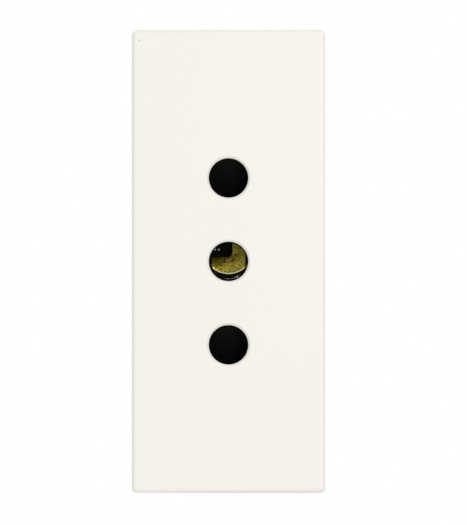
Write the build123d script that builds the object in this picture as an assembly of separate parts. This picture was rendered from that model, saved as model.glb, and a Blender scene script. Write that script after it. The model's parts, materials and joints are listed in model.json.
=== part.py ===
from build123d import *
import os

os.makedirs("parts", exist_ok=True)

# Sizes are in millimetres. X points right, Z points up and the front looks along minus Y.
# Depths are measured from the front face. The origin lies on the axis of the earth pin, in the plane
# where the rear rim of the front cover sits on the support frame.

# Plug that fits
PIN_D = 4.0
PIN_LENGTH = 19.0
PIN_PITCH = 9.5
PIN_CLEARANCE = 0.25
PIN_TIP_ROOM = 0.8

# Fits
FIT = 0.1
RUN = 0.15
SCREW_CLEARANCE = 0.2
HEAD_GAP = 0.05
LEAD_ANGLE = 45

# Front cover
COVER_DEPTH = 7.5
COVER_WALL = 1.4
COVER_FRONT = 1.8
COVER_SIDE_LIP = 2.0
COVER_END_LIP = 4.15
COVER_CORNER_R = 0.6
COVER_EDGE_R = 0.45
HOLE_LEAD = 0.25
PRY_W = 5.0
PRY_DEPTH = 0.8

# Snap ridges between cover and body
RIDGE_LENGTH = 6.0
RIDGE_Z = 17.0
RIDGE_RISE = 0.35
RIDGE_DEPTH = 1.6

# Shutter and its spring
SHUTTER_RAIL_W = 2.05
SHUTTER_LAND = 4.8
SHUTTER_SLOT_ROOM = 0.45
SHUTTER_PASS = 0.3
SHUTTER_CROWN = 1.8
SHUTTER_TOE = 0.6
SPRING_PRESSED = 3.3
SPRING_D = 2.7
SPRING_WIRE = 0.4
SPRING_TURNS = 5
SPRING_FLATS = 6
SPIGOT_LENGTH = 1.4
SPIGOT_GAP = 0.3

# Body
TRAY_WALL = 1.0
TRAY_FLOOR = 1.4
RAIL_T = 1.2
GUIDE_CLEARANCE = 0.12
GUIDE_LEAD = 0.2
BODY_WALL = 1.3
BODY_CORNER_R = 0.8
PARTITION = 1.2
CHAMBER_H = 6.05

# Snaps that hold the insert in its support frame
FRAME_T = 1.6
TONGUE_W = 7.0
TONGUE_LENGTH = 8.5
TONGUE_SLIT = 0.5
TONGUE_LIP = 0.5
TOOTH_RISE = 1.1
TOOTH_CREST = 0.6
TOOTH_RAMP = 3.4

# Contacts, each stamped and folded from one sheet
SHEET = 0.8
BEND_R = 0.4
LEG_ROOM = 0.25
GRIP_NIP = 0.05
MOUTH_FLARE = 1.0
MOUTH_LENGTH = 2.8
GRIP_LENGTH = 1.6
GRIP_SLOPE = 4.8
CONTACT_SETBACK = 0.6
LEG_LOW = -2.6
LEG_HIGH = 2.2
LEG_TRIM = 6.4
BASE_LOW = -1.46
BASE_SHOULDER = -0.37
NOTCH_X = 0.45
NOTCH_Z = 0.45
NOTCH_R = 0.66
NECK_W = 2.3
PLATE_W = 14.0
PLATE_SIDE_ROOM = 0.7
PLATE_END_ROOM = 0.55
PLATE_CORNER = 0.8
COLLAR_WALL = 0.55
COLLAR_LENGTH = 1.4
GROOVES = 2
GROOVE_W = 0.7
GROOVE_DEPTH = 0.25
GROOVE_PITCH = 1.6

# Contact carrier
BAR_T = 2.8
BAR_SKIN = 0.8
BAR_LOW = -3.2
BAR_HIGH = 2.6

# Terminals
CLAMP_GAP = 2.4
CLAMP_STOP = 0.4
CLAMP_W = 12.0
CLAMP_ROOM = 0.65
CLAMP_T = 1.0
CLAMP_CORNER = 0.8
SCREW_D = 3.4
HEAD_D = 6.0
HEAD_H = 2.2
HEAD_CHAMFER = 0.35
TIP_CHAMFER = 0.4
SLOT_W = 1.0
SLOT_DEPTH = 1.1
CROSS_LENGTH = 3.8

# Rear cover
HEAD_ROOM = 0.8
REAR_WALL = 1.4
REAR_SLOPE_DEPTH = 4.6
REAR_SLOPE_RISE = 4.4
ENTRY_D = 4.4
ENTRY_H = 5.4
ENTRY_LEAD = 0.4
ACCESS_ROOM = 0.4
ACCESS_CHAMFER = 0.4
COLUMN_GAP = 0.2
ARM_W = 4.0
ARM_T = 1.0
ARM_ROOM = 0.3
ARM_ROOT = 4.0
ARM_LENGTH = 8.0
BARB_RISE = 0.75
BARB_LENGTH = 1.6
BARB_FLAT = 0.8
BARB_ROOM = 0.2

# Travels
SHUTTER_TRAVEL = SHUTTER_LAND / 2 + PIN_D / 2 + SHUTTER_PASS
SCREW_TRAVEL = CLAMP_GAP - CLAMP_STOP

# Depths of the layers, front to back
TRAY_FRONT = COVER_FRONT + FIT
TRAY_BACK = COVER_DEPTH - FIT
FLOOR_FRONT = TRAY_BACK - TRAY_FLOOR
RIDGE_MIDDLE = (TRAY_FRONT + TRAY_BACK) / 2
SHUTTER_FRONT = COVER_FRONT + RUN
SHUTTER_BACK = FLOOR_FRONT - RUN
SPRING_DEPTH = (SHUTTER_FRONT + SHUTTER_BACK) / 2
MOUTH_FRONT = TRAY_BACK + CONTACT_SETBACK
BASE_FRONT = PIN_LENGTH + PIN_TIP_ROOM
BASE_BACK = BASE_FRONT + SHEET
BAR_FRONT = BASE_BACK + FIT
BAR_BACK = BAR_FRONT + BAR_T
PLATE_FRONT = BAR_BACK + FIT
PLATE_BACK = PLATE_FRONT + SHEET
CLAMP_FRONT = PLATE_BACK + CLAMP_GAP
CLAMP_BACK = CLAMP_FRONT + CLAMP_T
HEAD_FRONT = CLAMP_BACK + HEAD_GAP
HEAD_BACK = HEAD_FRONT + HEAD_H
REAR_FRONT = HEAD_BACK + HEAD_ROOM
REAR_BACK = REAR_FRONT + REAR_WALL
TIP_FRONT = BAR_FRONT + BAR_SKIN + FIT + SCREW_TRAVEL
BARB_FRONT = BAR_BACK - ARM_LENGTH

# Widths and heights that several pieces share
HOLE_R = PIN_D / 2 + PIN_CLEARANCE
GUIDE_R = PIN_D / 2 + GUIDE_CLEARANCE
INNER_W = PLATE_W + 2 * PLATE_SIDE_ROOM
BODY_W = INNER_W + 2 * BODY_WALL
COVER_W = BODY_W + 2 * COVER_SIDE_LIP
TRAY_W = COVER_W - 2 * (COVER_WALL + FIT)
POCKET_H = PIN_PITCH - PARTITION
CHAMBER_LOW = 1.5 * PIN_PITCH + PARTITION / 2
INNER_H = 2 * (CHAMBER_LOW + CHAMBER_H)
BODY_H = INNER_H + 2 * BODY_WALL
COVER_H = BODY_H + 2 * COVER_END_LIP
TRAY_H = COVER_H - 2 * (COVER_WALL + FIT)
ARM_Z = CHAMBER_LOW + CHAMBER_H / 2
SHUTTER_SLOT = PIN_D + 2 * SHUTTER_SLOT_ROOM
SHUTTER_W = SHUTTER_SLOT + 2 * SHUTTER_RAIL_W
SHUTTER_BOTTOM = -PIN_PITCH - SHUTTER_LAND / 2
SHUTTER_TOP = PIN_PITCH + SHUTTER_LAND / 2 + SHUTTER_CROWN
SPRING_LENGTH = SPRING_PRESSED + SHUTTER_TRAVEL
SPIGOT_D = SPRING_D - SPRING_WIRE - 2 * SPIGOT_GAP
LEG_GAP = PIN_D + 2 * LEG_ROOM
GRIP_GAP = PIN_D - 2 * GRIP_NIP
MOUTH_GAP = PIN_D + 2 * MOUTH_FLARE
NECK_LOW = BAR_HIGH + FIT
PLATE_LOW = PLATE_END_ROOM - POCKET_H / 2
PLATE_HIGH = NECK_LOW - BEND_R
COLLAR_D = SCREW_D + 2 * (SCREW_CLEARANCE + COLLAR_WALL)
CLAMP_H = POCKET_H - 2 * CLAMP_ROOM
COLUMN_X = CLAMP_W / 2 + COLUMN_GAP
COLUMN_Z = ENTRY_H / 2 + COLUMN_GAP
ACCESS_D = HEAD_D + 2 * ACCESS_ROOM

POLES = {"line": PIN_PITCH, "earth": 0.0, "neutral": -PIN_PITCH}


def front_view(outline, front, back, taper=0):
    """Carry an outline drawn in the front view from one depth to another, drawn in by a taper."""
    plane = Plane(origin=(0, front - COVER_DEPTH, 0), x_dir=(1, 0, 0), z_dir=(0, -1, 0))
    return extrude(plane * outline, amount=back - front, dir=(0, 1, 0), taper=taper)


def plan_view(outline, low, high):
    """Carry an outline of width against depth from one height to another."""
    plane = Plane(origin=(0, -COVER_DEPTH, low), x_dir=(1, 0, 0), z_dir=(0, 0, 1))
    return extrude(plane * outline, amount=high - low, dir=(0, 0, 1))


def side_view(outline, left, right, taper=0):
    """Carry an outline of depth against height from one side to the other, drawn in by a taper."""
    plane = Plane(origin=(left, -COVER_DEPTH, 0), x_dir=(0, 1, 0), z_dir=(1, 0, 0))
    return extrude(plane * outline, amount=right - left, dir=(1, 0, 0), taper=taper)


def block(left, right, front, back, low, high):
    """A plain block between two sides, two depths and two heights."""
    middle = Pos((left + right) / 2, (front + back) / 2 - COVER_DEPTH, (low + high) / 2)
    return middle * Box(right - left, back - front, high - low)


def both_sides(piece):
    """A piece with its mirror image on the other side."""
    return piece + mirror(piece, about=Plane.YZ)


def both_ends(piece):
    """A piece with its mirror image at the other end."""
    return piece + mirror(piece, about=Plane.XY)


def face_outline(*points):
    """A flat face inside a run of straight edges."""
    return make_face(Polyline(*points, close=True))


def pin_ways(radius, lead, front, back):
    """The three round ways for the plug pins between two depths, each with a sloping lead-in at its front."""
    ways = Part()
    for z in POLES.values():
        ways += front_view(Pos(0, z) * Circle(radius), front, back)
        ways += front_view(Pos(0, z) * Circle(radius + lead), front, front + lead, LEAD_ANGLE)
    return ways


def front_cover():
    """Moulded cap with a rounded front edge, three pin holes, ridge recesses and pry notches."""
    cap = front_view(RectangleRounded(COVER_W, COVER_H, COVER_CORNER_R), 0, COVER_DEPTH)
    cap = fillet(cap.faces().sort_by(Axis.Y)[0].edges(), COVER_EDGE_R)
    inside = Rectangle(COVER_W - 2 * COVER_WALL, COVER_H - 2 * COVER_WALL)
    cap -= front_view(inside, COVER_FRONT, COVER_DEPTH)
    cap -= pin_ways(HOLE_R, HOLE_LEAD, 0, COVER_FRONT)
    end = COVER_H / 2
    notch = block(-PRY_W / 2, PRY_W / 2, COVER_DEPTH - PRY_DEPTH, COVER_DEPTH, end - COVER_WALL / 2, end)
    cap -= both_ends(notch)
    wall = COVER_W / 2 - COVER_WALL
    half_depth = RIDGE_DEPTH / 2 + FIT
    half_length = RIDGE_LENGTH / 2 + FIT
    recess = block(
        wall,
        wall + RIDGE_RISE,
        RIDGE_MIDDLE - half_depth,
        RIDGE_MIDDLE + half_depth,
        RIDGE_Z - half_length,
        RIDGE_Z + half_length,
    )
    return cap - both_ends(both_sides(recess))


def shutter():
    """Slide with two ramped lands, an open way between them and a spigot for the spring."""
    half = SHUTTER_W / 2
    slide = block(-half, half, SHUTTER_FRONT, SHUTTER_BACK, SHUTTER_BOTTOM, SHUTTER_TOP)
    open_half = PIN_PITCH - SHUTTER_LAND / 2
    slot = SHUTTER_SLOT / 2
    slide -= block(-slot, slot, SHUTTER_FRONT, SHUTTER_BACK, -open_half, open_half)
    for z in (PIN_PITCH, -PIN_PITCH):
        ramp = face_outline(
            (SHUTTER_FRONT, z - SHUTTER_LAND / 2),
            (SHUTTER_FRONT, z + SHUTTER_LAND / 2),
            (SHUTTER_BACK - SHUTTER_TOE, z - SHUTTER_LAND / 2),
        )
        slide -= side_view(ramp, -slot, slot)
    upright = Pos(0, SPRING_DEPTH - COVER_DEPTH, SHUTTER_TOP + SPIGOT_LENGTH / 2)
    return slide + upright * Cylinder(SPIGOT_D / 2, SPIGOT_LENGTH)


def shutter_spring():
    """Wire wound from the top of the shutter to the spring seat, its round section given flats."""
    coil_height = SPRING_LENGTH - SPRING_WIRE - 2 * FIT
    foot = Pos(0, SPRING_DEPTH - COVER_DEPTH, SHUTTER_TOP + SPRING_WIRE / 2 + FIT)
    path = foot * Helix(coil_height / SPRING_TURNS, coil_height, SPRING_D / 2)
    section = Plane(path @ 0, z_dir=path % 0) * RegularPolygon(SPRING_WIRE / 2, SPRING_FLATS)
    return sweep(section, path=path, is_frenet=True)


def shutter_tray():
    """Tray inside the cover: rim, floor, rails, stop and spring seat for the shutter."""
    tray = front_view(Rectangle(TRAY_W, TRAY_H), TRAY_FRONT, TRAY_BACK)
    well = Rectangle(TRAY_W - 2 * TRAY_WALL, TRAY_H - 2 * TRAY_WALL)
    tray -= front_view(well, TRAY_FRONT, FLOOR_FRONT)
    stop = SHUTTER_BOTTOM - FIT
    seat = SHUTTER_TOP + SPRING_LENGTH
    rail = SHUTTER_W / 2 + RUN
    guide = Pos(0, (stop + seat) / 2) * Rectangle(2 * (rail + RAIL_T), seat - stop + 2 * RAIL_T)
    guide -= Pos(0, (stop + seat) / 2) * Rectangle(2 * rail, seat - stop)
    tray += front_view(guide, TRAY_FRONT, FLOOR_FRONT)
    upright = Pos(0, SPRING_DEPTH - COVER_DEPTH, seat - SPIGOT_LENGTH / 2)
    tray += upright * Cylinder(SPIGOT_D / 2, SPIGOT_LENGTH)
    wall = TRAY_W / 2
    ridge = face_outline(
        (wall, RIDGE_MIDDLE - RIDGE_DEPTH / 2),
        (wall + RIDGE_RISE, RIDGE_MIDDLE - RIDGE_DEPTH / 6),
        (wall + RIDGE_RISE, RIDGE_MIDDLE + RIDGE_DEPTH / 6),
        (wall, RIDGE_MIDDLE + RIDGE_DEPTH / 2),
    )
    ridge = plan_view(ridge, RIDGE_Z - RIDGE_LENGTH / 2, RIDGE_Z + RIDGE_LENGTH / 2)
    return tray + both_ends(both_sides(ridge))


def frame_tooth():
    """Wedge on the end of a snap tongue that catches behind the support frame."""
    top = BODY_H / 2
    lock = COVER_DEPTH + FRAME_T
    wedge = face_outline(
        (lock, top - BODY_WALL / 2),
        (lock, top + TOOTH_RISE),
        (lock + TOOTH_CREST, top + TOOTH_RISE),
        (lock + TOOTH_CREST + TOOTH_RAMP, top),
        (lock + TOOTH_CREST + TOOTH_RAMP, top - BODY_WALL / 2),
    )
    return side_view(wedge, -TONGUE_W / 2, TONGUE_W / 2)


def tongue_slit():
    """Slit round three sides of a snap tongue in the end wall of the body."""
    tip = COVER_DEPTH + FRAME_T - TONGUE_LIP
    root = tip + TONGUE_LENGTH
    half = TONGUE_W / 2
    low = INNER_H / 2
    high = BODY_H / 2
    slit = block(-half - TONGUE_SLIT, half + TONGUE_SLIT, tip - TONGUE_SLIT, tip, low, high)
    return slit + both_sides(block(half, half + TONGUE_SLIT, tip - TONGUE_SLIT, root, low, high))


def socket_body():
    """Main moulding: shutter tray, pin guides, one pocket for each contact and the frame snaps."""
    housing = front_view(RectangleRounded(BODY_W, BODY_H, BODY_CORNER_R), TRAY_BACK, BASE_FRONT)
    hollows = [Pos(0, z) * Rectangle(INNER_W, POCKET_H) for z in POLES.values()]
    hollows += [Pos(0, z) * Rectangle(INNER_W, CHAMBER_H) for z in (ARM_Z, -ARM_Z)]
    housing -= front_view(Sketch() + hollows, TRAY_BACK, BASE_FRONT)
    body = shutter_tray() + housing - pin_ways(GUIDE_R, GUIDE_LEAD, FLOOR_FRONT, TRAY_BACK)
    body -= both_ends(tongue_slit())
    body += both_ends(frame_tooth())
    window = block(
        INNER_W / 2,
        BODY_W / 2,
        BARB_FRONT - BARB_ROOM,
        BARB_FRONT + BARB_LENGTH + BARB_ROOM,
        ARM_Z - ARM_W / 2 - BARB_ROOM,
        ARM_Z + ARM_W / 2 + BARB_ROOM,
    )
    return body - both_ends(both_sides(window))


def contact_clip():
    """Base and two spring legs of a contact, drawn in to grip the pin and flared at the mouth."""
    grip = MOUTH_FRONT + MOUTH_LENGTH
    right = [
        ((LEG_GAP + SHEET) / 2, BASE_FRONT + SHEET / 2),
        ((LEG_GAP + SHEET) / 2, grip + GRIP_LENGTH + GRIP_SLOPE),
        ((GRIP_GAP + SHEET) / 2, grip + GRIP_LENGTH),
        ((GRIP_GAP + SHEET) / 2, grip),
        ((MOUTH_GAP + SHEET) / 2, MOUTH_FRONT),
    ]
    left = [(-x, depth) for x, depth in reversed(right)]
    strip = FilletPolyline(*left, *right, radius=BEND_R + SHEET / 2)
    return plan_view(trace(strip, line_width=SHEET), LEG_LOW, LEG_HIGH)


def contact_blank_cuts():
    """What the stamping tool takes off the clip: round end, corner notch and the sloped lower leg corners."""
    half = LEG_GAP / 2
    wide = half + 2 * SHEET
    end = ThreePointArc((-half, BASE_SHOULDER), (0, BASE_LOW), (half, BASE_SHOULDER))
    sides = Polyline(
        end @ 1,
        (wide, BASE_SHOULDER),
        (wide, LEG_LOW - SHEET),
        (-wide, LEG_LOW - SHEET),
        (-wide, BASE_SHOULDER),
        end @ 0,
    )
    bend_front = BASE_FRONT - BEND_R
    cuts = front_view(make_face([end, sides]), bend_front, BASE_BACK)
    notch = Pos((NOTCH_X - wide) / 2, NOTCH_Z + LEG_HIGH / 2) * Rectangle(NOTCH_X + wide, LEG_HIGH)
    notch = fillet(notch.vertices().group_by(Axis.Y)[0].sort_by(Axis.X)[-1], NOTCH_R)
    cuts += front_view(notch, bend_front, BASE_BACK)
    slope = face_outline(
        (bend_front - LEG_TRIM, LEG_LOW),
        (bend_front, BASE_SHOULDER),
        (bend_front, LEG_LOW),
    )
    return cuts + side_view(slope, -wide, wide)


def wire_grooves(front, back):
    """Grooves across a terminal face, on both sides of the screw, that keep the wires from slipping."""
    first = COLLAR_D / 2 + GROOVE_PITCH / 2
    grooves = [
        block(x, x + GROOVE_W, front, back, -POCKET_H / 2, POCKET_H / 2)
        for x in (first + step * GROOVE_PITCH for step in range(GROOVES))
    ]
    return both_sides(Part() + grooves)


def contact():
    """One folded contact: clip, neck over the carrier bar and terminal plate with a threaded collar."""
    clip = contact_clip() - contact_blank_cuts()
    neck_path = FilletPolyline(
        (BASE_FRONT + SHEET / 2, NOTCH_Z + NOTCH_R),
        (BASE_FRONT + SHEET / 2, NECK_LOW + SHEET / 2),
        (PLATE_FRONT + SHEET / 2, NECK_LOW + SHEET / 2),
        (PLATE_FRONT + SHEET / 2, 0),
        radius=BEND_R + SHEET / 2,
    )
    neck = side_view(trace(neck_path, line_width=SHEET), NOTCH_X, NOTCH_X + NECK_W)
    plate = Pos(0, (PLATE_LOW + PLATE_HIGH) / 2) * Rectangle(PLATE_W, PLATE_HIGH - PLATE_LOW)
    plate = chamfer(plate.vertices(), PLATE_CORNER)
    terminal = front_view(plate, PLATE_FRONT, PLATE_BACK)
    terminal += front_view(Circle(COLLAR_D / 2), PLATE_FRONT - COLLAR_LENGTH, PLATE_FRONT)
    terminal -= wire_grooves(PLATE_BACK - GROOVE_DEPTH, PLATE_BACK)
    bore = Circle(SCREW_D / 2 + SCREW_CLEARANCE)
    return clip + neck + terminal - front_view(bore, PLATE_FRONT - COLLAR_LENGTH, PLATE_BACK)


def contact_carrier():
    """Open frame with one bar across it for each contact, each bar with a blind hole for collar and screw."""
    outside = RectangleRounded(BODY_W, BODY_H, BODY_CORNER_R) - Rectangle(INNER_W, INNER_H)
    carrier = front_view(outside, BASE_FRONT, BAR_BACK)
    hole = Circle(COLLAR_D / 2 + SCREW_CLEARANCE)
    for z in POLES.values():
        half = INNER_W / 2 + BODY_WALL / 2
        bar = block(-half, half, BAR_FRONT, BAR_BACK, z + BAR_LOW, z + BAR_HIGH)
        bar = fillet(bar.edges().filter_by(Axis.X), BEND_R)
        carrier += bar
        carrier -= front_view(Pos(0, z) * hole, BAR_FRONT + BAR_SKIN, BAR_BACK)
    return carrier


def clamp_plate():
    """Loose plate under a terminal screw, grooved where it presses the wires."""
    outline = chamfer(Rectangle(CLAMP_W, CLAMP_H).vertices(), CLAMP_CORNER)
    outline -= Circle(SCREW_D / 2 + SCREW_CLEARANCE)
    plate = front_view(outline, CLAMP_FRONT, CLAMP_BACK)
    return plate - wire_grooves(CLAMP_FRONT, CLAMP_FRONT + GROOVE_DEPTH)


def terminal_screw():
    """Cheese-head screw with a slot and a short cross slot."""
    shank = front_view(Circle(SCREW_D / 2), TIP_FRONT, HEAD_FRONT)
    shank = chamfer(shank.edges().group_by(Axis.Y)[0], TIP_CHAMFER)
    head = front_view(Circle(HEAD_D / 2), HEAD_FRONT, HEAD_BACK)
    head = chamfer(head.edges().group_by(Axis.Y)[-1], HEAD_CHAMFER)
    drive = Rectangle(HEAD_D, SLOT_W) + Rectangle(SLOT_W, CROSS_LENGTH)
    return shank + head - front_view(drive, HEAD_BACK - SLOT_DEPTH, HEAD_BACK)


def rear_box(side, margin):
    """Closed back with sloping ends, drawn from the side; the margin draws it in by a wall."""
    end = BODY_H / 2 - margin
    back = REAR_BACK - (REAR_WALL if margin else 0)
    slope_front = back - REAR_SLOPE_DEPTH
    slope_end = end - REAR_SLOPE_RISE
    outline = face_outline(
        (BAR_BACK, -end),
        (BAR_BACK, end),
        (slope_front, end),
        (back, slope_end),
        (back, -slope_end),
        (slope_front, -end),
    )
    return side_view(outline, -side, side)


def snap_arm():
    """Spring arm with a barb that holds the rear cover to the body."""
    inner = INNER_W / 2 - ARM_ROOM - ARM_T
    outer = INNER_W / 2 - ARM_ROOM
    low = ARM_Z - ARM_W / 2
    high = ARM_Z + ARM_W / 2
    arm = block(inner, outer, BARB_FRONT, BAR_BACK + ARM_ROOT, low, high)
    arm += block(inner, INNER_W / 2 + BODY_WALL / 2, BAR_BACK, BAR_BACK + ARM_ROOT, low, high)
    barb_back = BARB_FRONT + BARB_LENGTH
    crest = INNER_W / 2 + BARB_RISE
    barb = face_outline(
        (outer, BARB_FRONT),
        (crest, barb_back - BARB_FLAT),
        (crest, barb_back),
        (outer, barb_back),
    )
    return arm + plan_view(barb, low, high)


def rear_cover():
    """Back of the insert: one terminal bay for each pole, wire entries, screw holes and four snap arms."""
    shell = rear_box(BODY_W / 2, 0)
    rims = shell.edges() - shell.edges().filter_by(Axis.X) - shell.faces().sort_by(Axis.Y)[0].edges()
    shell = fillet(rims, BODY_CORNER_R)
    cover = shell - rear_box(INNER_W / 2, BODY_WALL)
    for z in (0.5, 1.5):
        low = z * PIN_PITCH - PARTITION / 2
        wall = block(-INNER_W / 2, INNER_W / 2, BAR_BACK, REAR_FRONT, low, low + PARTITION)
        cover += both_ends(wall)
    for z in POLES.values():
        for end in (POCKET_H / 2, -POCKET_H / 2):
            low, high = sorted((z + end, z + (COLUMN_Z if end > 0 else -COLUMN_Z)))
            column = block(COLUMN_X, INNER_W / 2, PLATE_BACK + FIT, REAR_FRONT, low, high)
            cover += both_sides(column)
        entry = Pos(PLATE_BACK + ENTRY_D / 2, z) * Rectangle(ENTRY_D, ENTRY_H)
        way = side_view(entry, INNER_W / 2, BODY_W / 2)
        way += side_view(entry, BODY_W / 2 - ENTRY_LEAD, BODY_W / 2, -LEAD_ANGLE)
        cover -= both_sides(way)
        hole = Pos(0, z) * Circle(ACCESS_D / 2)
        cover -= front_view(hole, REAR_FRONT, REAR_BACK)
    rims = cover.edges().filter_by(GeomType.CIRCLE).group_by(Axis.Y)[-1]
    cover = chamfer(rims.filter_by(lambda rim: rim.is_closed), ACCESS_CHAMFER)
    return cover + both_ends(both_sides(snap_arm()))


pieces = {
    "front_cover": front_cover(),
    "shutter": shutter(),
    "shutter_spring": shutter_spring(),
    "socket_body": socket_body(),
    "contact_carrier": contact_carrier(),
    "rear_cover": rear_cover(),
}
for pole, height in POLES.items():
    pieces[f"{pole}_contact"] = Pos(0, 0, height) * contact()
    pieces[f"{pole}_clamp_plate"] = Pos(0, 0, height) * clamp_plate()
    pieces[f"{pole}_terminal_screw"] = Pos(0, 0, height) * terminal_screw()

for name, piece in pieces.items():
    export_step(piece, f"parts/{name}.step")
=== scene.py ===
"""Finishes, fine pieces and studio of a three-pin wall socket insert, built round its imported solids.

Lengths are metres. X points right, Z points up and the face looks along minus Y, as in the solids.
"""

import json
import math

import bpy
import numpy as np
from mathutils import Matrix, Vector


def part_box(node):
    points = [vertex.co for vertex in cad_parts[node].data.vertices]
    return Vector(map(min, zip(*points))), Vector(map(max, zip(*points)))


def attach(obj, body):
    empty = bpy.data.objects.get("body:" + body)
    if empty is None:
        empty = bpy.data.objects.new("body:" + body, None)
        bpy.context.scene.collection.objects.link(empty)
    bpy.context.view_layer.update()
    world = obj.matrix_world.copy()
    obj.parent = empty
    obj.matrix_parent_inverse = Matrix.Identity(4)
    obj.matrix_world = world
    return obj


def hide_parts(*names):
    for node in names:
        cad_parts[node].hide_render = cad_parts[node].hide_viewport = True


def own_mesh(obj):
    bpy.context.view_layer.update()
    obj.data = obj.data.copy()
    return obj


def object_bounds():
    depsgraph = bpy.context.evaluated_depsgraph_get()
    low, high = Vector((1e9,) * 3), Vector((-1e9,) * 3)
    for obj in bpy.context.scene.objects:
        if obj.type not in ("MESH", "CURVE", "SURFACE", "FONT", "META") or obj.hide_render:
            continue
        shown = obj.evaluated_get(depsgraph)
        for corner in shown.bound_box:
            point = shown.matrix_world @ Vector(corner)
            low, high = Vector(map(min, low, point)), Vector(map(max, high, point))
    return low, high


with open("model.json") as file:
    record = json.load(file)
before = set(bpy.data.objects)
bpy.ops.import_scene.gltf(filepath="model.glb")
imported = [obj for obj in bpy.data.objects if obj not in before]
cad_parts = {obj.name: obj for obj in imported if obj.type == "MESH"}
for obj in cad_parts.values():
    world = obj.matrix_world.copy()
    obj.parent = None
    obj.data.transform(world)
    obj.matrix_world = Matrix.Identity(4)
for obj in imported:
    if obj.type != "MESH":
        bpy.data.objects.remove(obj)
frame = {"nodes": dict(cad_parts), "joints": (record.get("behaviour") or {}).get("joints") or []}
CAD_LOW, CAD_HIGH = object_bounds()

bl_info = {
    "name": "Three-pin socket insert",
    "version": (1, 0, 0),
    "blender": (4, 5, 0),
    "location": "3D View > Sidebar > Socket",
    "description": "Dresses the solids of a wall socket insert and sets up its studio",
    "category": "Object",
}

MM = 0.001
POLES = ("line", "earth", "neutral")
SHUTTER_SLIDE = next(joint for joint in frame["joints"] if joint["name"] == "shutter_slide")
SPRING_LOW, SPRING_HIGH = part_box("shutter_spring")
SPRING_SEAT = SHUTTER_SLIDE["deforming_nodes"][0]["fixed_end_z_m"]
REAR_LOW, REAR_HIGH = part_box("rear_cover")
CONTACT_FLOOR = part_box("contact_carrier")[0].y
PIN_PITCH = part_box("line_contact")[0].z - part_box("earth_contact")[0].z

STEPS_A_TURN = 36
WIRE_SIDES = 12
BAR_SIDES = 24
# Turns over which a spring's climb widens and a thread's ridge grows
EASE_TURNS = 0.5
# How near loose corners are joined, past which angle edges are rounded, and up to which shading is smooth
JOIN_REACH = 0.001 * MM
SHARP_EDGE = math.radians(35)
SMOOTH_EDGE = math.radians(40)
WHITE = (1.0, 1.0, 1.0, 1.0)


class Wire:
    """A value on its way through a finish. Operators between wires and numbers add Math nodes."""

    def __init__(self, finish, socket):
        self.finish = finish
        self.socket = socket

    def maths(self, operation, *terms):
        """One Math node with these terms on its inputs, in order."""
        return self.finish.add("ShaderNodeMath", {"operation": operation}, dict(enumerate(terms)))

    def __add__(self, other):
        return self.maths("ADD", self, other)

    def __radd__(self, other):
        return self.maths("ADD", other, self)

    def __sub__(self, other):
        return self.maths("SUBTRACT", self, other)

    def __rsub__(self, other):
        return self.maths("SUBTRACT", other, self)

    def __mul__(self, other):
        return self.maths("MULTIPLY", self, other)

    def __rmul__(self, other):
        return self.maths("MULTIPLY", other, self)

    def __truediv__(self, other):
        return self.maths("DIVIDE", self, other)

    def __rtruediv__(self, other):
        return self.maths("DIVIDE", other, self)

    def __pow__(self, other):
        return self.maths("POWER", self, other)

    def __abs__(self):
        return self.maths("ABSOLUTE", self)


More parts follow.
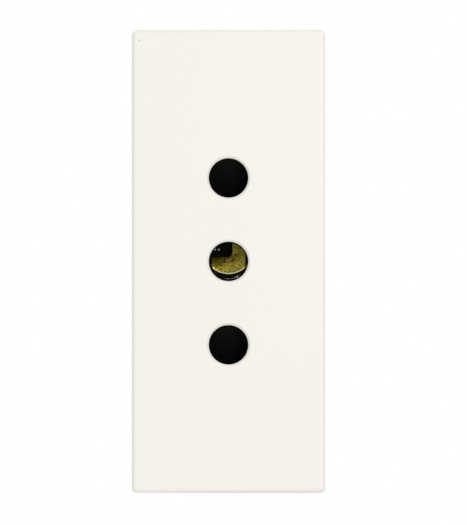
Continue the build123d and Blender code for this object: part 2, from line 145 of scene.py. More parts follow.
class Finish:
    """The node tree of one material or of the world, with the patterns that its finishes share."""

    def __init__(self, owner):
        self.owner = owner
        owner.use_nodes = True
        self.tree = owner.node_tree
        self.tree.nodes.clear()

    def add(self, kind, settings=None, sockets=None, output=0):
        """Add a node: its settings first, then the values or wires of its sockets. Returns one output."""
        node = self.tree.nodes.new(kind)
        for name, value in (settings or {}).items():
            setattr(node, name, value)
        for name, value in (sockets or {}).items():
            if isinstance(value, Wire):
                self.tree.links.new(value.socket, node.inputs[name])
            else:
                node.inputs[name].default_value = value
        return Wire(self, node.outputs[output]) if len(node.outputs) else None

    def place(self):
        """Object coordinates of the surface."""
        return self.add("ShaderNodeTexCoord", output="Object")

    def parts(self, vector):
        """The X, Y and Z of a vector."""
        split = self.add("ShaderNodeSeparateXYZ", sockets={"Vector": vector})
        return [Wire(self, socket) for socket in split.socket.node.outputs]

    def stretched(self, vector, scale, turn=0.0):
        """A vector turned about Y and scaled apart along its axes, for patterns that run one way."""
        sockets = {"Vector": vector, "Rotation": (0, turn, 0), "Scale": scale}
        return self.add("ShaderNodeMapping", {}, sockets)

    def noise(self, vector, size, detail=2.0, roughness=0.5):
        """Soft noise from 0 to 1 with spots of about this size."""
        sockets = {"Vector": vector, "Scale": 1 / size, "Detail": detail, "Roughness": roughness}
        return self.add("ShaderNodeTexNoise", {}, sockets, "Fac")

    def cells(self, vector, size):
        """Distance to the nearest of many scattered points, as a share of their spacing."""
        return self.add("ShaderNodeTexVoronoi", {}, {"Vector": vector, "Scale": 1 / size}, "Distance")

    def length(self, first, second):
        """Length of the diagonal of two distances."""
        return (first * first + second * second) ** 0.5

    def rise(self, value, low, high):
        """0 below low, 1 above high and a smooth climb between."""
        sockets = {"Value": value, "From Min": low, "From Max": high}
        return self.add("ShaderNodeMapRange", {"interpolation_type": "SMOOTHSTEP"}, sockets)

    def fall(self, value, low, high):
        """1 below low, 0 above high and a smooth drop between."""
        return 1 - self.rise(value, low, high)

    def blend(self, share, first, second):
        """From one colour to another by a share."""
        sockets = {0: share, 6: first, 7: second}
        return self.add("ShaderNodeMix", {"data_type": "RGBA"}, sockets, 2)

    def bump(self, height, distance, strength=1.0):
        """Normals of a surface raised by a height pattern of this depth."""
        sockets = {"Height": height, "Distance": distance, "Strength": strength}
        return self.add("ShaderNodeBump", {}, sockets)

    def seen(self):
        """1 for what the camera, mirrors and glass see, and 0 for what only lights other surfaces."""
        path = self.add("ShaderNodeLightPath", output="Is Camera Ray")
        outputs = path.socket.node.outputs
        return path + Wire(self, outputs["Is Glossy Ray"]) + Wire(self, outputs["Is Transmission Ray"])

    def surface(self, **sockets):
        """Close a material with a principled shader. Names are its sockets, with underscores for spaces."""
        named = {name.replace("_", " "): value for name, value in sockets.items()}
        shader = self.add("ShaderNodeBsdfPrincipled", {}, named)
        self.add("ShaderNodeOutputMaterial", {}, {"Surface": shader})
        return self.owner


def new_finish(name):
    """An empty finish on a new material."""
    return Finish(bpy.data.materials.new(name))


def opaque(colour):
    """A colour with full alpha."""
    return (*colour, 1.0)


def white_plastic(looks):
    """Satin moulded plastic: a slow drift of tint, fine grain, faint waves and one speck in the face."""
    make = new_finish("white_plastic")
    place = make.place()
    x, y, z = make.parts(place)
    drift = x - z * 0.3 + make.noise(place, 9 * MM) * (6 * MM)
    warm = make.rise(drift, -9 * MM, 15 * MM)
    colour = make.blend(warm, opaque(looks.cover_colour), opaque(looks.cover_warm))
    away = make.length(x - looks.speck_x, z - looks.speck_z) + make.noise(place, 0.08 * MM) * (0.05 * MM)
    on_face = make.fall(y, CAD_LOW.y + 0.3 * MM, CAD_LOW.y + 0.4 * MM)
    speck = make.fall(away, looks.speck_size / 2, looks.speck_size) * on_face
    grain = make.noise(place, 0.12 * MM, detail=3.0)
    waves = make.noise(place, 7 * MM, detail=1.0)
    return make.surface(
        Base_Color=make.blend(speck * 0.75, colour, opaque(looks.speck_colour)),
        Roughness=0.36 + grain * 0.12,
        Normal=make.bump(grain * 0.35 + waves * 4, 0.004 * MM),
    )


def moulded_plastic(name, colour, worn, grain_depth, sheen=0.5, bright_metal=None):
    """Dark moulded plastic: eroded grain with smoother peaks, paler than the hollows as painted shade, and a
    pale bloom in patches.

    Bright metal, where given, is a function of finish, place and grain. It gives a share of bare metal, for
    flecks and for a painted highlight, and the metal's colour.
    """
    make = new_finish(name)
    place = make.place()
    grain = make.noise(place, 0.28 * MM, detail=4.0, roughness=0.6)
    peaks_and_painted_shade = make.rise(grain, 0.38, 0.62)
    bloom = make.rise(make.noise(place, 4 * MM, detail=3.0), 0.35, 0.75)
    # The grain's hollows are darker than its peaks as painted shade; the bloom is paler in patches
    tint = make.blend(bloom * 0.4 + peaks_and_painted_shade * 0.6, opaque(colour), opaque(worn))
    roughness = 0.6 - peaks_and_painted_shade * 0.14 - bloom * 0.08
    bare = 0.0
    if bright_metal:
        bare, metal = bright_metal(make, place, grain)
        tint = make.blend(bare, tint, opaque(metal))
        roughness = roughness - bare * 0.3
    return make.surface(
        Base_Color=tint,
        Metallic=bare,
        Roughness=roughness,
        Specular_IOR_Level=sheen,
        Normal=make.bump(grain, grain_depth),
    )


def carrier_metal(looks):
    """Bright metal on the carrier: filings from plugging, and a painted highlight as an arc of bare metal low
    down.
    """

    def bright_metal(make, place, grain):
        x, y, z = make.parts(place)
        around = make.length(x, z)
        # The arc is a painted highlight: bare metal round the pin axis, on its lower side only
        ring = make.fall(abs(around - looks.highlight_arc_radius), 0.02 * MM, 0.09 * MM)
        towards = (x * math.cos(looks.highlight_arc_angle) + z * math.sin(looks.highlight_arc_angle)) / around
        share = ring * make.rise(towards + grain * 0.06, 0.86, 1.0) * looks.highlight_arc_share
        for fleck_x, fleck_z, size in zip(looks.fleck_x, looks.fleck_z, looks.fleck_size):
            away = make.length(x - fleck_x, z - fleck_z) + (grain - 0.5) * size
            share = share + make.fall(away, size * 0.6, size)
        on_front = make.fall(y, CONTACT_FLOOR + 1.0 * MM, CONTACT_FLOOR + 1.1 * MM)
        return share * on_front, looks.fleck_colour

    return bright_metal


def brass(looks):
    """Stamped sheet brass: rolling lines, pits, dark spots, scratches and tarnish, with painted shade up and
    to the left, beside the notch and on the legs, and painted highlights on the scratches and a smoother
    lower edge.

    Heights are measured from each pole's own pin axis, so that the three contacts look alike.
    """
    make = new_finish("brass")
    place = make.place()
    x, y, z = make.parts(place)
    height = z.maths("WRAP", z, PIN_PITCH / 2, -PIN_PITCH / 2)

    # The sheet's own marks
    along = make.stretched(place, (1.0, 1.0, 5.0), turn=0.6)
    rolled = make.noise(along, 1.2 * MM, detail=4.0, roughness=0.65)
    pits = make.noise(place, 0.16 * MM, detail=3.0, roughness=0.7)
    spots = make.fall(make.cells(place, 0.5 * MM), 0.15, 0.35)
    against = make.stretched(place, (1.0, 1.0, 7.0), turn=-0.7)
    scratches = make.rise(make.noise(against, 1.0 * MM, detail=3.0), 0.55, 0.66)

    # Tarnish in the pits and in the spots, and painted shade, heaviest up and to the left
    painted_shade = make.rise(height - x * 0.45 + (rolled - 0.5) * (0.6 * MM), -1.2 * MM, 0.8 * MM)
    painted_shade = painted_shade - make.rise(height, 0.3 * MM, 1.2 * MM) * 0.35
    # More painted shade towards the left
    left = make.fall(x, -1.6 * MM, -0.5 * MM)
    dark = make.rise(pits * 2.0 + painted_shade * 0.5 + left * 0.18 + spots * 0.4 - scratches * 0.3, 0.8, 1.75)
    # Painted shadow beside the notch
    notch_shadow = make.rise(height, -0.35 * MM, 0.45 * MM) * make.fall(x, -1.1 * MM, 0.3 * MM)
    # Painted shade on the legs, deep in the housing
    leg_shade = make.fall(y, CONTACT_FLOOR - 0.9 * MM, CONTACT_FLOOR - 0.2 * MM)

    # A painted highlight along the arc of the base's lower edge, which is smoother there, weaker at its left
    # end
    to_edge = make.length(x, height - looks.arc_centre) - looks.arc_radius
    rim_highlight = make.rise(to_edge, -0.24 * MM, -0.13 * MM) * make.fall(height, -0.4 * MM, 0.0)
    rim_highlight = rim_highlight * (1 - make.fall(x, -1.8 * MM, -1.0 * MM) * 0.45)

    colour = make.blend(dark, opaque(looks.brass_colour), opaque(looks.brass_tarnish_and_shade))
    # Painted highlights along the scratches, left out where shade is painted
    glints = scratches * (1 - painted_shade)
    colour = make.blend(glints * 0.65, colour, opaque(looks.brass_highlight))
    # Dark spots, the painted shadow beside the notch and the painted shade on the legs, in the darkest brown
    for share in (spots * 0.5, notch_shadow * 0.7, leg_shade * 0.65):
        colour = make.blend(share, colour, opaque(looks.brass_stain_and_shade))
    return make.surface(
        Base_Color=make.blend(rim_highlight, colour, opaque(looks.brass_highlight)),
        Metallic=1.0,
        Roughness=(0.25 + dark * 0.17) * (1 - rim_highlight) + rim_highlight * 0.19,
        Normal=make.bump((pits + rolled * 0.5 + scratches * 0.4) * (1 - rim_highlight), 0.015 * MM, strength=0.7),
    )


def plated_steel(looks):
    """Zinc plate: pale crystals, faint yellow passivation and darker handling marks."""
    make = new_finish("plated_steel")
    place = make.place()
    crystals = make.cells(place, 0.35 * MM)
    haze = make.rise(make.noise(place, 1.8 * MM, detail=3.0), 0.4, 0.7)
    across = make.stretched(place, (1.0, 5.0, 1.0))
    marks = make.rise(make.noise(across, 0.9 * MM, detail=3.0), 0.52, 0.75)
    colour = make.blend(haze, opaque(looks.steel_colour), opaque(looks.steel_passive))
    return make.surface(
        Base_Color=make.blend(marks * 0.5, colour, opaque(looks.steel_mark)),
        Metallic=1.0,
        Roughness=0.26 + crystals * 0.16 + marks * 0.12,
        Normal=make.bump(crystals, 0.006 * MM, strength=0.5),
    )


def spring_steel(looks):
    """Drawn wire: fine lines and a thin oil-dark skin in patches."""
    make = new_finish("spring_steel")
    place = make.place()
    lines = make.noise(make.stretched(place, (1.0, 1.0, 9.0)), 0.3 * MM, detail=3.0)
    skin = make.rise(make.noise(place, 1.1 * MM), 0.4, 0.7)
    return make.surface(
        Base_Color=make.blend(skin, opaque(looks.spring_colour), opaque(looks.steel_mark)),
        Metallic=1.0,
        Roughness=0.25 + lines * 0.2,
        Normal=make.bump(lines, 0.004 * MM, strength=0.5),
    )


def dress(node, material, rounding):
    """Give a solid its finish, join its loose faces and round its sharp edges by a small width."""
    part = frame["nodes"][node]
    part.data.materials.clear()
    part.data.materials.append(material)
    join = part.modifiers.new("join", "WELD")
    join.merge_threshold = JOIN_REACH
    edge = part.modifiers.new("soften", "BEVEL")
    edge.width = rounding
    edge.segments = 2
    edge.limit_method = "ANGLE"
    edge.angle_limit = SHARP_EDGE


def grid_faces(rows, columns):
    """Quads between the rows of a grid whose columns close on themselves, and a face on each end."""
    row, column = np.meshgrid(np.arange(rows - 1), np.arange(columns), indexing="ij")
    here, beside = row * columns + column, row * columns + (column + 1) % columns
    quads = np.stack([here, beside, beside + columns, here + columns], axis=-1).reshape(-1, 4)
    ends = [np.arange(columns)[::-1], np.arange(columns) + (rows - 1) * columns]
    return quads.tolist() + [end.tolist() for end in ends]


def add_piece(name, grids, material, body):
    """Make one mesh of closed grids of world points, give it its finish and let it ride on a body."""
    points, faces = [], []
    for grid in grids:
        first = len(points)
        points += grid.reshape(-1, 3).tolist()
        faces += [[first + index for index in face] for face in grid_faces(*grid.shape[:2])]
    mesh = bpy.data.meshes.new(name)
    mesh.from_pydata(points, [], faces)
    mesh.materials.append(material)
    mesh.shade_smooth()
    mesh.set_sharp_from_angle(angle=SMOOTH_EDGE)
    mesh.update()
    piece = bpy.data.objects.new(name, mesh)
    bpy.context.scene.collection.objects.link(piece)
    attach(piece, body)
    return piece


def wound_wire(looks):
    """Grid of a compression spring, one ring for each step along its wire.

    The angle round the coil grows evenly along the wire. The climb is one wire thickness a turn over the
    closed turns at each end and wider between, so that the wire just fills the height. Each ring is a circle
    across the wire.
    """
    turn = np.linspace(0, looks.spring_turns, looks.spring_turns * STEPS_A_TURN + 1)
    from_end = np.minimum(turn, looks.spring_turns - turn)
    opening = np.clip((from_end - looks.spring_closed) / EASE_TURNS, 0, 1)
    opening = opening * opening * (3 - 2 * opening)
    wire = looks.spring_wire
    closed_climb = turn * wire
    open_climb = np.cumsum(opening)
    height = SPRING_HIGH.z - SPRING_LOW.z - wire
    climb = closed_climb + open_climb * (height - closed_climb[-1]) / open_climb[-1]
    angle = turn * 2 * math.pi
    outward = np.stack([np.cos(angle), np.sin(angle), np.zeros_like(angle)], axis=-1)
    coil = (SPRING_HIGH.x - SPRING_LOW.x - wire) / 2
    foot = np.array([0, (SPRING_LOW.y + SPRING_HIGH.y) / 2, SPRING_LOW.z + wire / 2])
    centres = foot + coil * outward + climb[:, None] * np.array([0, 0, 1])
    tangent = np.gradient(centres, axis=0)
    tangent /= np.linalg.norm(tangent, axis=1, keepdims=True)
    across = np.cross(tangent, outward)
    around = np.linspace(0, 2 * math.pi, WIRE_SIDES, endpoint=False)[None, :, None]
    ring = np.cos(around) * outward[:, None] + np.sin(around) * across[:, None]
    return centres[:, None] + wire / 2 * ring


def thread_ridge(screw, looks):
    """Grid of a right-hand thread on a screw, one ridge section for each step along it.

    The section is a ridge with sloping flanks, carried round the screw's axis while it moves towards the tip
    by one pitch a turn. Its four corners lie at shares of half a pitch, and its foot under the shank's skin.
    The ridge sinks towards its foot over half a turn at each end and keeps a trace of height there, so that
    no face shrinks to nothing.
    """
    low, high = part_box(screw)
    turns = looks.thread_length / looks.thread_pitch
    turn = np.linspace(0, turns, int(turns * STEPS_A_TURN) + 1)
    from_end = np.minimum(turn, turns - turn)
    grown = np.clip(from_end / EASE_TURNS, 0.02, 1)[:, None]
    sunk = looks.thread_depth / 3
    reach = looks.shank_radius - sunk + grown * (looks.thread_depth + sunk) * np.array([0, 1, 1, 0])
    side = looks.thread_pitch / 2 * np.array([-0.85, -0.2, 0.2, 0.85])
    angle = turn[:, None] * 2 * math.pi
    start = low.y + looks.thread_lead + looks.thread_length
    depth = start - turn[:, None] * looks.thread_pitch + side
    axis_x, axis_z = (low.x + high.x) / 2, (low.z + high.z) / 2
    return np.stack([axis_x + reach * np.cos(angle), depth, axis_z + reach * np.sin(angle)], axis=-1)


def raised_bar(wall, middle, length, looks, upright=False):
    """Grid of a bar with round ends that stands on a side wall.

    The outline is a circle pulled apart by the straight length of the bar, and turned by a quarter for an
    upright bar. Two rings stand on the wall, the first a little inside it, and the third is drawn in on top.
    """
    side = math.copysign(1, wall)
    around = np.linspace(0, 2 * math.pi, BAR_SIDES, endpoint=False)
    drawn = np.array([1.0, 1.0, 0.6])[:, None] * looks.sign_width / 2
    along = drawn * np.cos(around) + np.sign(np.cos(around)) * (length - looks.sign_width) / 2
    across = drawn * np.sin(around)
    if upright:
        along, across = -across, along
    stand = np.broadcast_to(np.array([-0.3, 0.6, 1.0])[:, None] * looks.sign_height, along.shape)
    return np.stack([wall + side * stand, middle[0] + side * along, middle[1] + across], axis=-1)


def earth_sign(wall, looks):
    """Grids of the earth sign on a side wall: a stem just clear of three bars that grow shorter downwards."""
    middle, step = REAR_HIGH.y - looks.sign_inset, looks.sign_step
    stem = raised_bar(wall, (middle, step + looks.sign_width * 0.55), 2 * step, looks, upright=True)
    return [stem, *(raised_bar(wall, (middle, -row * step), (3 - row) * step, looks) for row in range(3))]


class SocketLooks(bpy.types.PropertyGroup):
    """Colours and fine sizes of the insert."""

    cover_colour: bpy.props.FloatVectorProperty(
        name="Cover", description="Cool side of the cover's white", subtype="COLOR",
        default=(0.865, 0.85, 0.785),
    )
    cover_warm: bpy.props.FloatVectorProperty(
        name="Cover, warm", description="Warm side of the cover's white", subtype="COLOR",
        default=(0.895, 0.845, 0.795),
    )
    speck_colour: bpy.props.FloatVectorProperty(
        name="Speck", description="Colour of the speck in the face", subtype="COLOR",
        default=(0.3, 0.29, 0.27),
    )
    speck_x: bpy.props.FloatProperty(
        name="Speck X", description="Place of the speck across the face", unit="LENGTH",
        default=-10.165 * MM,
    )
    speck_z: bpy.props.FloatProperty(
        name="Speck Z", description="Height of the speck on the face", unit="LENGTH",
        default=25.14 * MM,
    )
    speck_size: bpy.props.FloatProperty(
        name="Speck size", description="Radius of the speck", unit="LENGTH",
        default=0.13 * MM,
    )
    black_colour: bpy.props.FloatVectorProperty(
        name="Black mouldings", description="Colour of shutter, body and carrier", subtype="COLOR",
        default=(0.0045, 0.0045, 0.004),
    )
    black_worn: bpy.props.FloatVectorProperty(
        name="Black mouldings, bloom", description="Paler patches of the black", subtype="COLOR",
        default=(0.007, 0.007, 0.006),
    )
    inner_grain: bpy.props.FloatProperty(
        name="Inner grain", description="Depth of the grain on shutter and carrier", unit="LENGTH",
        default=0.012 * MM,
    )
    body_grain: bpy.props.FloatProperty(
        name="Body grain", description="Depth of the grain on the body", unit="LENGTH",
        default=0.05 * MM,
    )
    shutter_sheen: bpy.props.FloatProperty(
        name="Shutter sheen", description="Strength of the shutter's faint reflection", subtype="FACTOR",
        default=0.06,
    )
    fleck_x: bpy.props.FloatVectorProperty(
        name="Flecks X", description="Places of metal flecks across the carrier", size=3, unit="LENGTH",
        default=(-1.13 * MM, -1.55 * MM, 1.03 * MM),
    )
    fleck_z: bpy.props.FloatVectorProperty(
        name="Flecks Z", description="Heights of the metal flecks", size=3, unit="LENGTH",
        default=(1.37 * MM, 1.38 * MM, -1.75 * MM),
    )
    fleck_size: bpy.props.FloatVectorProperty(
        name="Fleck size", description="Radii of the metal flecks", size=3, unit="LENGTH",
        default=(0.13 * MM, 0.11 * MM, 0.12 * MM),
    )
    fleck_colour: bpy.props.FloatVectorProperty(
        name="Fleck colour", description="Colour of the flecks and of the painted highlight arc", subtype="COLOR",
        default=(0.75, 0.74, 0.7),
    )
    highlight_arc_radius: bpy.props.FloatProperty(
        name="Highlight arc radius", description="Radius of the painted highlight arc on the carrier", unit="LENGTH",
        default=2.01 * MM,
    )
    highlight_arc_angle: bpy.props.FloatProperty(
        name="Highlight arc angle", description="Middle of the painted highlight arc", subtype="ANGLE",
        default=math.radians(-76),
    )
    highlight_arc_share: bpy.props.FloatProperty(
        name="Highlight arc", description="Share of bare metal in the painted highlight arc", subtype="FACTOR",
        default=0.8,
    )
    rear_colour: bpy.props.FloatVectorProperty(
        name="Rear cover", description="Colour of the rear cover", subtype="COLOR",
        default=(0.03, 0.03, 0.032),
    )
    rear_worn: bpy.props.FloatVectorProperty(
        name="Rear cover, bloom", description="Paler patches of the rear cover", subtype="COLOR",
        default=(0.052, 0.052, 0.056),
    )
    rear_grain: bpy.props.FloatProperty(
        name="Rear grain", description="Depth of the grain on the rear cover", unit="LENGTH",
        default=0.06 * MM,
    )
    sign_inset: bpy.props.FloatProperty(
        name="Earth sign inset", description="From the rear face to the earth sign's middle", unit="LENGTH",
        default=1.75 * MM,
    )
    sign_step: bpy.props.FloatProperty(
        name="Earth sign step", description="From one bar of the earth sign to the next", unit="LENGTH",
        default=0.5 * MM,
    )
    sign_width: bpy.props.FloatProperty(
        name="Earth sign width", description="Width of a bar of the earth sign", unit="LENGTH",
        default=0.28 * MM,
    )
    sign_height: bpy.props.FloatProperty(
        name="Earth sign relief", description="Height of the earth sign over its wall", unit="LENGTH",
        default=0.12 * MM,
    )
    brass_colour: bpy.props.FloatVectorProperty(
        name="Brass", description="Clean brass of the contacts", subtype="COLOR",
        default=(0.82, 0.66, 0.09),
    )
    brass_tarnish_and_shade: bpy.props.FloatVectorProperty(
        name="Brass, tarnish and shade", description="Brown of tarnish and painted shade on the contacts", subtype="COLOR",
        default=(0.3, 0.215, 0.027),
    )
    brass_stain_and_shade: bpy.props.FloatVectorProperty(
        name="Brass, darkest", description="Darkest brown of spots and painted shade", subtype="COLOR",
        default=(0.09, 0.06, 0.01),
    )
    brass_highlight: bpy.props.FloatVectorProperty(
        name="Brass, highlight", description="Painted highlight on the edge and scratches", subtype="COLOR",
        default=(0.92, 0.85, 0.38),
    )
    arc_centre: bpy.props.FloatProperty(
        name="Arc centre", description="From the pin axis up to the centre of the base's arc", unit="LENGTH",
        default=1.407 * MM,
    )
    arc_radius: bpy.props.FloatProperty(
        name="Arc radius", description="Radius of the contact base's lower edge", unit="LENGTH",
        default=2.867 * MM,
    )
    steel_colour: bpy.props.FloatVectorProperty(
        name="Plated steel", description="Zinc plate of screws and clamps", subtype="COLOR",
        default=(0.62, 0.63, 0.64),
    )
    steel_passive: bpy.props.FloatVectorProperty(
        name="Plated steel, passivated", description="Yellowish zinc plate", subtype="COLOR",
        default=(0.66, 0.64, 0.54),
    )
    steel_mark: bpy.props.FloatVectorProperty(
        name="Steel marks", description="Handling marks on steel", subtype="COLOR",
        default=(0.3, 0.29, 0.27),
    )
    spring_colour: bpy.props.FloatVectorProperty(
        name="Spring colour", description="Colour of the spring", subtype="COLOR",
        default=(0.5, 0.5, 0.5),
    )
    spring_wire: bpy.props.FloatProperty(
        name="Spring wire", description="Thickness of the spring wire", unit="LENGTH",
        default=0.4 * MM,
    )
    spring_turns: bpy.props.IntProperty(
        name="Spring turns", description="Turns of the spring, closed ends included",
        default=5,
    )
    spring_closed: bpy.props.FloatProperty(
        name="Spring closed turns", description="Turns that lie on each other at each end",
        default=0.75,
    )
    edge_round: bpy.props.FloatProperty(
        name="Edge rounding", description="Width of the rounding on moulded edges", unit="LENGTH",
        default=0.07 * MM,
    )
    sheet_round: bpy.props.FloatProperty(
        name="Sheet rounding", description="Width of the rounding on metal edges", unit="LENGTH",
        default=0.05 * MM,
    )
    shank_radius: bpy.props.FloatProperty(
        name="Shank radius", description="Radius of the screws' shank", unit="LENGTH",
        default=1.7 * MM,
    )
    thread_pitch: bpy.props.FloatProperty(
        name="Thread pitch", description="Climb of the thread in one turn", unit="LENGTH",
        default=0.6 * MM,
    )
    thread_depth: bpy.props.FloatProperty(
        name="Thread height", description="Height of the thread over the shank", unit="LENGTH",
        default=0.15 * MM,
    )
    thread_lead: bpy.props.FloatProperty(
        name="Thread lead", description="Plain length at the screw's tip", unit="LENGTH",
        default=0.75 * MM,
    )
    thread_length: bpy.props.FloatProperty(
        name="Thread length", description="Threaded length of the screws", unit="LENGTH",
        default=3.0 * MM,
    )


class SocketStage(bpy.types.PropertyGroup):
    """Camera, lamps and floor."""

    camera_distance: bpy.props.FloatProperty(
        name="Camera distance", description="From the camera to the face", unit="LENGTH",
        default=1.2,
    )
    view_height: bpy.props.FloatProperty(
        name="View height", description="Height of the picture at the face", unit="LENGTH",
        default=59.74 * MM,
    )
    aim_x: bpy.props.FloatProperty(
        name="Aim X", description="Place across the face in the picture's middle", unit="LENGTH",
        default=0.57 * MM,
    )
    aim_z: bpy.props.FloatProperty(
        name="Aim Z", description="Height on the face in the picture's middle", unit="LENGTH",
        default=-0.125 * MM,
    )
    ambient: bpy.props.FloatProperty(
        name="Ambient", description="Strength of the soft light from all round", subtype="FACTOR",
        default=0.58,
    )
    key_place: bpy.props.FloatVectorProperty(
        name="Key place", description="Place of the lamp in front, to the right", subtype="TRANSLATION",
        default=(0.34, -1.3, 0.1),
    )
    key_size: bpy.props.FloatProperty(
        name="Key size", description="Side of the lamp in front", unit="LENGTH",
        default=0.22,
    )
    key_power: bpy.props.FloatProperty(
        name="Key power", description="Power of the lamp in front", unit="POWER",
        default=5.3,
    )
    top_place: bpy.props.FloatVectorProperty(
        name="Top place", description="Place of the lamp overhead", subtype="TRANSLATION",
        default=(0.1, -0.35, 1.2),
    )
    top_size: bpy.props.FloatProperty(
        name="Top size", description="Side of the lamp overhead", unit="LENGTH",
        default=0.5,
    )
    top_power: bpy.props.FloatProperty(
        name="Top power", description="Power of the lamp overhead", unit="POWER",
        default=2.5,
    )
    back_place: bpy.props.FloatVectorProperty(
        name="Back place", description="Place of the lamp behind, to the left", subtype="TRANSLATION",
        default=(-0.6, 1.2, 0.8),
    )
    back_size: bpy.props.FloatProperty(
        name="Back size", description="Side of the lamp behind", unit="LENGTH",
        default=0.9,
    )
    back_power: bpy.props.FloatProperty(
        name="Back power", description="Power of the lamp behind", unit="POWER",
        default=7.0,
    )
    floor_colour: bpy.props.FloatVectorProperty(
        name="Floor", description="Colour of the floor", subtype="COLOR",
        default=(0.9, 0.9, 0.9),
    )
    floor_share: bpy.props.FloatProperty(
        name="Floor white", description="Share of plain white in the floor as seen", subtype="FACTOR",
        default=0.65,
    )
    floor_near: bpy.props.FloatProperty(
        name="Floor near", description="Distance where the floor begins to fade to white", unit="LENGTH",
        default=0.05,
    )
    floor_far: bpy.props.FloatProperty(
        name="Floor far", description="Distance where the floor is seen as white", unit="LENGTH",
        default=0.16,
    )
    floor_size: bpy.props.FloatProperty(
        name="Floor size", description="Reach of the floor to every side", unit="LENGTH",
        default=4.0,
    )
    floor_drop: bpy.props.FloatProperty(
        name="Floor drop", description="Room under the insert, which hangs in its frame", unit="LENGTH",
        default=8 * MM,
    )


class SOCKET_OT_front_cover(bpy.types.Operator):
    """Finish the white front cover"""

    bl_idname = "socket.front_cover"
    bl_label = "Front cover"

    def execute(self, context):
        looks = context.scene.socket_looks
        dress("front_cover", white_plastic(looks), looks.edge_round)
        return {"FINISHED"}


class SOCKET_OT_mouldings(bpy.types.Operator):
    """Finish the black shutter, body and contact carrier"""

    bl_idname = "socket.mouldings"
    bl_label = "Black mouldings"

    def execute(self, context):
        looks = context.scene.socket_looks
        extras = {
            "shutter": {"grain_depth": looks.inner_grain, "sheen": looks.shutter_sheen},
            "socket_body": {"grain_depth": looks.body_grain},
            "contact_carrier": {"grain_depth": looks.inner_grain, "bright_metal": carrier_metal(looks)},
        }
        for node, extra in extras.items():
            black = moulded_plastic(f"{node}_black", looks.black_colour, looks.black_worn, **extra)
            dress(node, black, looks.edge_round)
        return {"FINISHED"}


class SOCKET_OT_rear_cover(bpy.types.Operator):
    """Finish the rear cover and add the earth sign beside the earth wire entries"""

    bl_idname = "socket.rear_cover"
    bl_label = "Rear cover"

    def execute(self, context):
        looks = context.scene.socket_looks
        grey = moulded_plastic("rear_plastic", looks.rear_colour, looks.rear_worn, looks.rear_grain)
        dress("rear_cover", grey, looks.edge_round)
        for side, wall in (("left", REAR_LOW.x), ("right", REAR_HIGH.x)):
            add_piece(f"earth_sign_{side}", earth_sign(wall, looks), grey, "housing")
        return {"FINISHED"}


class SOCKET_OT_contacts(bpy.types.Operator):
    """Finish the three brass contacts"""

    bl_idname = "socket.contacts"
    bl_label = "Contacts"

    def execute(self, context):
        looks = context.scene.socket_looks
        sheet = brass(looks)
        for pole in POLES:
            dress(f"{pole}_contact", sheet, looks.sheet_round)
        return {"FINISHED"}


class SOCKET_OT_terminals(bpy.types.Operator):
    """Finish the clamp plates and screws and cut the screws' threads"""

    bl_idname = "socket.terminals"
    bl_label = "Terminals"

    def execute(self, context):
        looks = context.scene.socket_looks
        steel = plated_steel(looks)
        for pole in POLES:
            screw = f"{pole}_terminal_screw"
            dress(f"{pole}_clamp_plate", steel, looks.sheet_round)
            dress(screw, steel, looks.sheet_round)
            ridge = thread_ridge(screw, looks)
            add_piece(f"{pole}_screw_thread", [ridge], steel, f"{pole}_screw")
        return {"FINISHED"}


class SOCKET_OT_shutter_spring(bpy.types.Operator):
    """Wind the shutter spring from round wire"""

    bl_idname = "socket.shutter_spring"
    bl_label = "Shutter spring"

    def execute(self, context):
        looks = context.scene.socket_looks
        wire = wound_wire(looks)
        spring = add_piece("wound_spring", [wire], spring_steel(looks), "housing")
        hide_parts("shutter_spring")
        free = SPRING_SEAT - SPRING_LOW.z
        pressed = free - SHUTTER_SLIDE["range_m"][1]
        pressed / free
        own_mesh(spring)
        return {"FINISHED"}


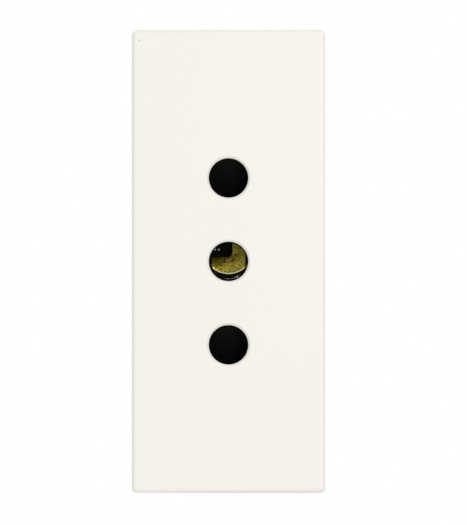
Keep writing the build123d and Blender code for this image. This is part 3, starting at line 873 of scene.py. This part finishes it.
class SOCKET_OT_stage(bpy.types.Operator):
    """Set up the floor, the light and the camera"""

    bl_idname = "socket.stage"
    bl_label = "Stage"

    def execute(self, context):
        scene = context.scene
        stage = scene.socket_stage
        scene.view_settings.view_transform = "Standard"
        self.world(scene, stage)
        self.floor(scene, stage)
        self.lamp(scene, "key_lamp", stage.key_place, stage.key_size, stage.key_power)
        self.lamp(scene, "top_lamp", stage.top_place, stage.top_size, stage.top_power)
        self.lamp(scene, "back_lamp", stage.back_place, stage.back_size, stage.back_power)
        self.camera(scene, stage)
        return {"FINISHED"}

    def world(self, scene, stage):
        """Soft light from all round that the camera and mirrors see as white."""
        scene.world = bpy.data.worlds.new("studio")
        make = Finish(scene.world)
        soft = make.add("ShaderNodeBackground", {}, {"Color": WHITE, "Strength": stage.ambient})
        white = make.add("ShaderNodeBackground", {}, {"Color": WHITE, "Strength": 1.0})
        both = make.add("ShaderNodeMixShader", {}, {0: make.seen(), 1: soft, 2: white})
        make.add("ShaderNodeOutputWorld", {}, {"Surface": both})

    def floor(self, scene, stage):
        """Pale floor under the insert that keeps a soft shadow and fades to white further out."""
        make = new_finish("floor")
        x, y, _ = make.parts(make.place())
        far = make.rise(make.length(x, y), stage.floor_near, stage.floor_far)
        share = make.seen() * (stage.floor_share + far * (1 - stage.floor_share))
        paint = make.add("ShaderNodeBsdfDiffuse", {}, {"Color": opaque(stage.floor_colour)})
        white = make.add("ShaderNodeEmission", {}, {"Color": WHITE, "Strength": 1.0})
        both = make.add("ShaderNodeMixShader", {}, {0: share, 1: paint, 2: white})
        make.add("ShaderNodeOutputMaterial", {}, {"Surface": both})
        corners = np.array([(-1, -1), (1, -1), (1, 1), (-1, 1)]) * stage.floor_size
        points = np.column_stack([corners, np.full(4, CAD_LOW.z - stage.floor_drop)])
        mesh = bpy.data.meshes.new("floor")
        mesh.from_pydata(points.tolist(), [], [(0, 1, 2, 3)])
        mesh.materials.append(make.owner)
        floor = bpy.data.objects.new("floor", mesh)
        scene.collection.objects.link(floor)

    def lamp(self, scene, name, place, size, power):
        """A square soft lamp that points at the insert."""
        light = bpy.data.lights.new(name, "AREA")
        light.size = size
        light.energy = power
        lamp = bpy.data.objects.new(name, light)
        lamp.location = place
        lamp.rotation_euler = (-lamp.location).to_track_quat("-Z", "Y").to_euler()
        scene.collection.objects.link(lamp)

    def camera(self, scene, stage):
        """A long lens straight in front of the face."""
        lens = bpy.data.cameras.new("camera")
        lens.sensor_width = 36.0
        lens.lens = lens.sensor_width * stage.camera_distance / stage.view_height
        lens.clip_end = 10 * stage.camera_distance
        camera = bpy.data.objects.new("camera", lens)
        camera.location = (stage.aim_x, CAD_LOW.y - stage.camera_distance, stage.aim_z)
        camera.rotation_euler = (math.pi / 2, 0, 0)
        scene.collection.objects.link(camera)
        scene.camera = camera


OPERATORS = (
    SOCKET_OT_front_cover,
    SOCKET_OT_mouldings,
    SOCKET_OT_rear_cover,
    SOCKET_OT_contacts,
    SOCKET_OT_terminals,
    SOCKET_OT_shutter_spring,
    SOCKET_OT_stage,
)


class SOCKET_PT_panel(bpy.types.Panel):
    """Lists the steps that dress the insert"""

    bl_idname = "SOCKET_PT_panel"
    bl_label = "Socket insert"
    bl_space_type = "VIEW_3D"
    bl_region_type = "UI"
    bl_category = "Socket"

    def draw(self, context):
        for operator in OPERATORS:
            self.layout.operator(operator.bl_idname)


CLASSES = (SocketLooks, SocketStage, *OPERATORS, SOCKET_PT_panel)


def register():
    """Register the classes and hang their settings on the scene."""
    for item in CLASSES:
        bpy.utils.register_class(item)
    bpy.types.Scene.socket_looks = bpy.props.PointerProperty(type=SocketLooks)
    bpy.types.Scene.socket_stage = bpy.props.PointerProperty(type=SocketStage)


def unregister():
    """Take the settings and the classes away again."""
    del bpy.types.Scene.socket_stage
    del bpy.types.Scene.socket_looks
    for item in reversed(CLASSES):
        bpy.utils.unregister_class(item)


def main():
    """Dress the insert and set its stage."""
    register()
    bpy.ops.socket.front_cover()
    bpy.ops.socket.mouldings()
    bpy.ops.socket.rear_cover()
    bpy.ops.socket.contacts()
    bpy.ops.socket.terminals()
    bpy.ops.socket.shutter_spring()
    bpy.ops.socket.stage()


if __name__ == "__main__":
    main()
